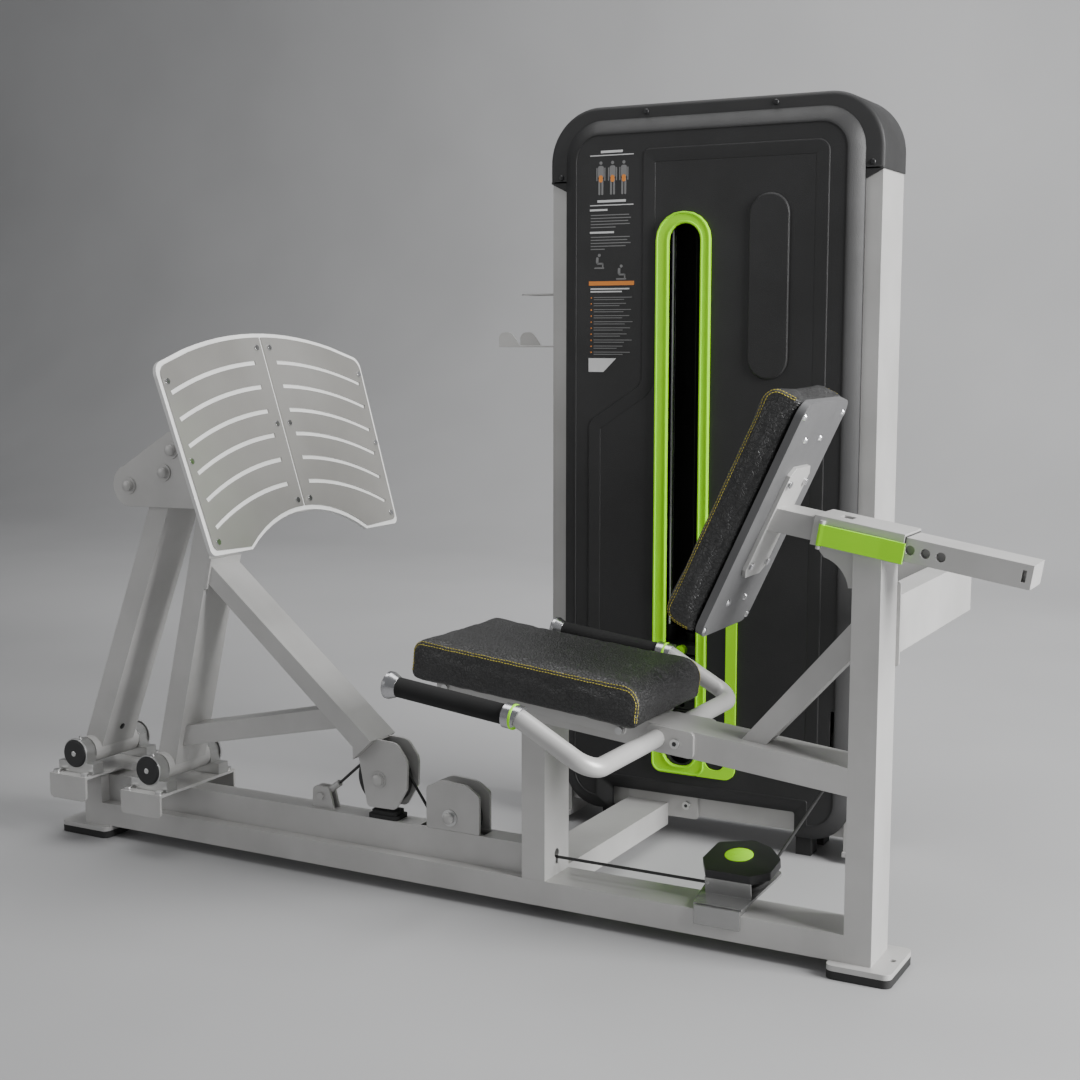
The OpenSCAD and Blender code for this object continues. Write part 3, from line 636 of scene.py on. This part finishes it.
def fittings():
    disc = Build()
    disc.lathe(facing(CORNER, (-1.5, 13, 30), (0, 0, 1)), [(27, -0.5), (27, 1.0), (26, 1.6), (0.01, 1.6)], 40)
    disc.make("corner_disc", MATS["green_plastic"], "frame", "green_plastic")

    dots = Build()
    for x, z in ((-1790, 197), (-1581, 185)):
        for y, d in ((-58, -1), (158, 1)):
            f = facing(UPRIGHT, (x, y, z), (0, d, 0))
            dots.lathe(f, [(6, -0.4), (6, 0.6), (5, 1.2), (2.6, 1.2), (2.4, 0.6), (0.01, 0.6)], 24)
    dots.make("bearing_dots", MATS["bright_steel"], "frame", "bright_steel")

    rims = Build()
    for x, z in ((-1790, 197), (-1581, 185)):
        for y, d in ((-52, -1), (152, 1)):
            f = facing(UPRIGHT, (x, y, z), (0, d, 0))
            rims.lathe(f, [(33.5, -3), (33.5, 0.2), (32.5, 1.4), (31.3, 1.4), (31.3, -3)], 40)
        for y in (-36, 136):
            f = facing(UPRIGHT, (x, y, z + 27), (0, 0, 1))
            rims.lathe(f, [(4.5, 0), (4.5, 4), (3, 5.5), (3, 8), (0.01, 9)], 18)
    rims.make("bearing_rims", MATS["bright_steel"], "frame", "bright_steel")

    screws = Build()
    socket_shade_discs = Build()
    spots = [(-918, 594, 1458), (-713, 594, 1589), (-420, 594, 1590), (-213, 594, 1460)]
    for s in spots:
        f = facing(UPRIGHT, s, (0, -1, 0))
        screws.lathe(f, [(6, -0.5), (6, 1.2), (4.5, 2.6), (0.01, 3)], 20)
    screws.make("cap_screws", MATS["black_plastic"], "frame", "black_plastic")

    # flat near-black hex discs laid on the bolt heads: painted shade in place of the socket recesses
    def socket(frame_m, origin, direction, r):
        f = facing(frame_m, origin, direction)
        socket_shade_discs.slab(f, [(r * math.cos(math.radians(60 * k)), r * math.sin(math.radians(60 * k))) for k in range(6)], -0.5, 0.35)

    for y, d in ((-14, -1), (114, 1)):
        socket(UPRIGHT, (-369.5, y, 381), (0, d, 0), 4.6)
    socket(UPRIGHT, (-605, 597, 74.6), (0, -1, 0), 4.2)
    socket_shade_discs.make("bolt_socket_painted_shade", SOCKET_SHADE, "frame", None)
    domes("head_domes", [(-1550, 826), (-1426, 830), (-1648, 794), (-1528, 874)], (-19, 119), 11.5, "foot_head")
    domes("sheave_domes", [MOVING], (17, 83), 11.5, "front_leg_arm")
    domes("fixed_domes", [FIXED], (17, 83), 11.5, "frame")

    bands = Build()
    for y in (-270, 370):
        f = Matrix.Translation(P(-408, y, 386)) @ Matrix.Rotation(math.radians(28.84), 4, "Y") @ Matrix.Translation((-0.1596, 0, 0))
        f = f @ Matrix.Rotation(math.radians(-112.14), 4, "Y") @ Matrix.Scale(0.001, 4)
        bands.lathe(f @ Matrix.Translation((0, 0, 9)), [(22.0, -2.5), (22.6, -2), (22.6, 2), (22.0, 2.5)], 40)
    bands.make("grip_bands", MATS["green_plastic"], "frame", "green_plastic")

    for x0, z0, ang, body in ((-1790, 197, 21.2, "rear_leg_arm"), (-1577.6, 185, 13.22, "front_leg_arm")):
        b = Build()
        f = Matrix.Translation(P(x0, 50, z0)) @ Matrix.Rotation(math.radians(ang), 4, "Y") @ Matrix.Scale(0.001, 4)
        b.lathe(facing(f, (25, 0, 58), (1, 0, 0)), [(7, -0.3), (7, 0.8), (5.5, 1.8), (0.01, 2.2)], 20)
        b.make("leg_plug_" + body, MATS["black_plastic"], body, "black_plastic")


fittings()


# ---------- tower front: chamfered border, raised fields, generic label ----------
def corner(points, radii, n=10):
    """An outline whose corners are rounded with n + 1 points each; a zero radius gives n + 1 equal points."""
    out = []
    m = len(points)
    for i in range(m):
        a, b, c = Vector(points[i - 1]), Vector(points[i]), Vector(points[(i + 1) % m])
        u, v = (a - b).normalized(), (c - b).normalized()
        half = u.angle(v) / 2
        r = max(radii[i], 0.05)
        mid = b + (u + v).normalized() * r / math.sin(half)
        s, e = b + u * r / math.tan(half) - mid, b + v * r / math.tan(half) - mid
        turn = s.angle_signed(e)
        for k in range(n + 1):
            t = -turn * k / n
            out.append((mid.x + s.x * math.cos(t) - s.y * math.sin(t), mid.y + s.x * math.sin(t) + s.y * math.cos(t)))
    return out


def inset(points, g):
    """Every corner moved g millimetres inward, along its bisector."""
    out = []
    for i, p in enumerate(points):
        a, b, c = Vector(points[i - 1]), Vector(p), Vector(points[(i + 1) % len(points)])
        u, v = (b - a).normalized(), (c - b).normalized()
        n = (Vector((u.y, -u.x)) + Vector((v.y, -v.x)))
        out.append(tuple(b + n * (g / (1 + u.dot(v)))))
    return out


def panel_outline(g):
    return corner([(-904 + g, 45 + g), (-784 - g, 45 + g), (-784 - g, 98 + g), (-350 + g, 98 + g),
                   (-350 + g, 45 + g), (-228 - g, 45 + g), (-228 - g, 1576 - g), (-904 + g, 1576 - g)],
                  [86 - g, 1, 6, 6, 1, 86 - g, 88 - g, 88 - g])


FRONT = Matrix.Translation(P(0, 0, 0)) @ Matrix.Scale(0.001, 4)  # outlines in X and Z, at a given Y


def ring(name, rows, material, slot, smooth=25):
    """A closed ring lofted through outlines, each with its own Y."""
    b = Build()
    n = len(rows[0][1])
    verts = [(x, y, z) for y, pts in rows for x, z in pts]
    faces = []
    m = len(rows)
    for i in range(m):
        for k in range(n):
            i2, k2 = (i + 1) % m, (k + 1) % n
            faces.append([i * n + k, i * n + k2, i2 * n + k2, i2 * n + k])
    b.add(FRONT, verts, faces)
    return b.make(name, material, "frame", slot, smooth)


def front_details():
    rows = [(593.0, panel_outline(-0.6)), (591.5, panel_outline(0.2)), (576.8, panel_outline(26)),
            (574.9, panel_outline(30)), (574.5, panel_outline(33)), (576.5, panel_outline(34)), (594.5, panel_outline(10))]
    ring("shroud_chamfer", rows, MATS["shroud_plastic"], "shroud_plastic", 50)

    f = Matrix.Translation(P(0, 576, 0)) @ Matrix.Rotation(math.radians(90), 4, "X") @ Matrix.Scale(0.001, 4)
    field = [(-712, 1510), (-296, 1510), (-296, 200), (-700, 200), (-840, 420), (-840, 925), (-712, 1010)]
    bends = [16, 26, 40, 60, 60, 30, 30]
    rows = [(y, corner(inset(field, g), [max(q - g, 0) if i < 6 else q + g for i, q in enumerate(bends)], 6))
            for y, g in ((576.6, -0.2), (575.9, 0), (574.5, 1.6), (575.96, 30), (576.8, 31))]
    ring("shroud_field", rows, MATS["shroud_plastic"], "shroud_plastic", 20)
    b = Build()
    b.slab(f, pill(-466, 1022, -379, 1407, 43), -0.5, 5.5, 3.5)
    b.make("shroud_emblem_field", MATS["shroud_plastic"], "frame", "shroud_plastic", 30)
    def lip(name, x0, x1, z0, z1, top, low, side):
        rows = []
        for y, g in ((570.4, 0.8), (567.8, 1.8), (567.8, 4.4), (570.4, 5.4)):
            g *= side
            rows.append((y, corner([(x0 + g, z0 + g), (x1 - g, z0 + g), (x1 - g, z1 - g), (x0 + g, z1 - g)],
                                   [low - g, low - g, top - g, top - g], 12)))
        ring(name, rows, MATS["green_plastic"], "green_plastic")

    lip("trim_outer_lip", -678, -552, 153, 1375, 60, 24, 1)
    lip("trim_inner_lip", -648, -575, 172, 1350, 36, 30, -1)
    strip = Build()
    strip.slab(f, corner([(-551, 172), (-505, 172), (-505, 580), (-551, 580)], [20, 20, 10, 10], 6), -0.5, 2.2)
    strip.make("window_side_strip", MATS["black_plastic"], "frame", "black_plastic")
    white, grey, orange = Build(), Build(), Build()

    def bar(target, x0, z0, x1, z1):
        target.slab(f, [(x0, z0), (x1, z0), (x1, z1), (x0, z1)], -0.2, 0.35)

    bar(white, -838, 1499, -734, 1501)
    bar(white, -812, 1505, -760, 1510)
    for x in (-812, -784, -757):
        grey.lathe(f @ Matrix.Translation((x, 1484, -0.2)), [(3.6, 0), (3.6, 0.55), (0.01, 0.55)], 20)
        grey.slab(f, pill(x - 7, 1452, x + 7, 1478, 5), -0.2, 0.35)
        for s in (-1, 1):
            grey.slab(f, pill(x + s * 3.6 - 2.2, 1416, x + s * 3.6 + 2.2, 1451, 2), -0.2, 0.35)
            grey.slab(f, pill(x + s * 9.5 - 1.2, 1446, x + s * 9.5 + 1.2, 1474, 1.1), -0.2, 0.35)
        orange.slab(f, pill(x - 4.5, 1443, x + 4.5, 1458, 4), 0.3, 0.6)
    bar(white, -820, 1400, -752, 1405)
    bar(white, -838, 1393, -734, 1395)
    bar(white, -838, 1382, -796, 1386)
    for i, w in enumerate((92, 96, 90, 94, 60)):
        bar(grey, -836, 1372 - 6.5 * i, -836 + w, 1374 - 6.5 * i)
    bar(white, -838, 1334, -780, 1338)
    for i, w in enumerate((94, 88, 96, 84, 34)):
        bar(grey, -836, 1325 - 6.5 * i, -836 + w, 1327 - 6.5 * i)
    for x, z in ((-815, 1272), (-762, 1248)):
        grey.lathe(f @ Matrix.Translation((x, z + 15, -0.2)), [(3.4, 0), (3.4, 0.55), (0.01, 0.55)], 18)
        grey.slab(f, pill(x - 8, z - 3, x - 2, z + 11, 2.6), -0.2, 0.35)
        grey.slab(f, pill(x - 6, z - 5, x + 9, z - 1, 1.8), -0.2, 0.35)
        grey.slab(f, pill(x - 12, z - 14, x + 12, z - 11, 1.2), -0.2, 0.35)
        grey.slab(f, pill(x + 7, z - 12, x + 10, z - 2, 1.2), -0.2, 0.35)
    bar(orange, -840, 1222, -731, 1231)
    bar(white, -836, 1213, -742, 1216)
    bar(white, -836, 1207, -760, 1210)
    for i, w in enumerate((92, 78, 90, 86, 94, 88, 80, 92, 70, 88)):
        z = 1194 - 13.2 * i
        orange.lathe(f @ Matrix.Translation((-834, z + 1.5, -0.2)), [(1.6, 0), (1.6, 0.5), (0.01, 0.5)], 10)
        bar(grey, -828, z + 1.4, -828 + w, z + 3)
        bar(grey, -828, z - 3.4, -828 + w * 0.8, z - 1.8)
    white.slab(f, [(-840, 1034), (-804, 1034), (-773, 1064), (-840, 1064)], -0.2, 0.35)
    white.make("label_white", WHITE, "frame", None)
    grey.make("label_grey", GREY, "frame", None)
    orange.make("label_orange", ORANGE, "frame", None)


def cap_shell():
    """The tower's top cap as one moulding: smooth corners and a soft edge in front and behind."""
    def outline(g):
        return corner([(-945 + g, 1447), (-189 - g, 1447), (-189 - g, 1606 - g), (-945 + g, 1606 - g)],
                      [0, 0, 118 - g, 118 - g], 20)

    steps = [(594.2, 9), (595.2, 5), (598, 1.6), (603, 0), (744, 0), (749, 1.6), (752, 5), (753, 9)]
    b = Build()
    n = len(outline(0))
    verts = [(x, y, z) for y, g in steps for x, z in outline(g)]
    faces = [list(range(n)), [(len(steps) - 1) * n + k for k in range(n - 1, -1, -1)]]
    for i in range(len(steps) - 1):
        for k in range(n):
            faces.append([i * n + k, i * n + (k + 1) % n, (i + 1) * n + (k + 1) % n, (i + 1) * n + k])
    b.add(FRONT, verts, faces)
    for sx, x0, x1 in ((-1, -942.5, -902), (1, -191.5, -230)):
        pts = [(x0, 1450), (x0, 1446), (x1, 1426), (x1, 1450)]
        v = [(x, y, z) for y in (594.2, 599.8) for x, z in pts]
        b.add(FRONT, v, [[0, 1, 2, 3], [7, 6, 5, 4]] + [[k, (k + 1) % 4, (k + 1) % 4 + 4, k + 4] for k in range(4)])
    cap = b.make("cap_shell", MATS["shroud_plastic"], "frame", "shroud_plastic", 30)
    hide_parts("top_cap")


front_details()
cap_shell()


# ---------- floor, light, camera ----------
def studio():
    bm = bmesh.new()
    n = 24
    prof = [(-6.0, 0.0)] + [(4.2 + 2.5 * math.sin(math.pi / 2 * k / n), 2.5 - 2.5 * math.cos(math.pi / 2 * k / n)) for k in range(n + 1)] + [(6.7, 9.0)]
    rows = []
    for y, z in prof:
        rows.append([bm.verts.new((x, y, z)) for x in (-14.0, 14.0)])
    for a, b in zip(rows, rows[1:]):
        bm.faces.new((a[0], a[1], b[1], b[0]))
    me = bpy.data.meshes.new("studio_floor")
    bm.to_mesh(me)
    bm.free()
    for p in me.polygons:
        p.use_smooth = True
    floor = bpy.data.objects.new("studio_floor", me)
    bpy.context.collection.objects.link(floor)
    m = Mat("studio floor", 0.6)
    m.colour(m.ramp(m.noise(0.8, 3, 0.5), (0.33, 0.33, 0.333), (0.36, 0.36, 0.363)))
    me.materials.append(m.bump([(m.noise(40, 2, 0.5), 0.02, 0.002)]))
    floor.location.z = -0.0005
    floor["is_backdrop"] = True

    def area(name, loc, target, size, power, colour=(1, 1, 1)):
        l = bpy.data.lights.new(name, "AREA")
        l.shape = "RECTANGLE"
        l.size, l.size_y = size
        l.energy = power
        l.color = colour
        o = bpy.data.objects.new(name, l)
        o.location = loc
        o.rotation_euler = (Vector(target) - Vector(loc)).to_track_quat("-Z", "Y").to_euler()
        bpy.context.collection.objects.link(o)

    area("key", (4.6, -0.2, 2.4), (0, 0, 0.7), (2.2, 2.8), 560)
    area("wall", (0, 2.4, 3.6), (0, 6.6, 1.4), (7, 1.4), 230)
    area("top", (-0.3, 0.3, 4.4), (0, 0, 0.3), (3.4, 2.6), 110)
    area("fill", (-3.6, -3.4, 1.9), (0, 0, 0.6), (2.6, 2.4), 32)
    world = bpy.data.worlds.new("studio world")
    world.use_nodes = True
    world.node_tree.nodes["Background"].inputs["Color"].default_value = (0.80, 0.81, 0.83, 1)
    world.node_tree.nodes["Background"].inputs["Strength"].default_value = 0.32
    bpy.context.scene.world = world

    cam = bpy.data.cameras.new("view_camera")
    cam.sensor_width = 36.0
    cam.lens = 54.38
    cam.clip_end = 60
    o = bpy.data.objects.new("view_camera", cam)
    o.location = (1.5944, -2.8991, 1.117)
    o.rotation_euler = (math.radians(82.80), 0, math.radians(28.29))
    bpy.context.collection.objects.link(o)
    bpy.context.scene.camera = o


studio()
{"cad": cad_bounds, "visual": flat_numbers(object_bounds())}
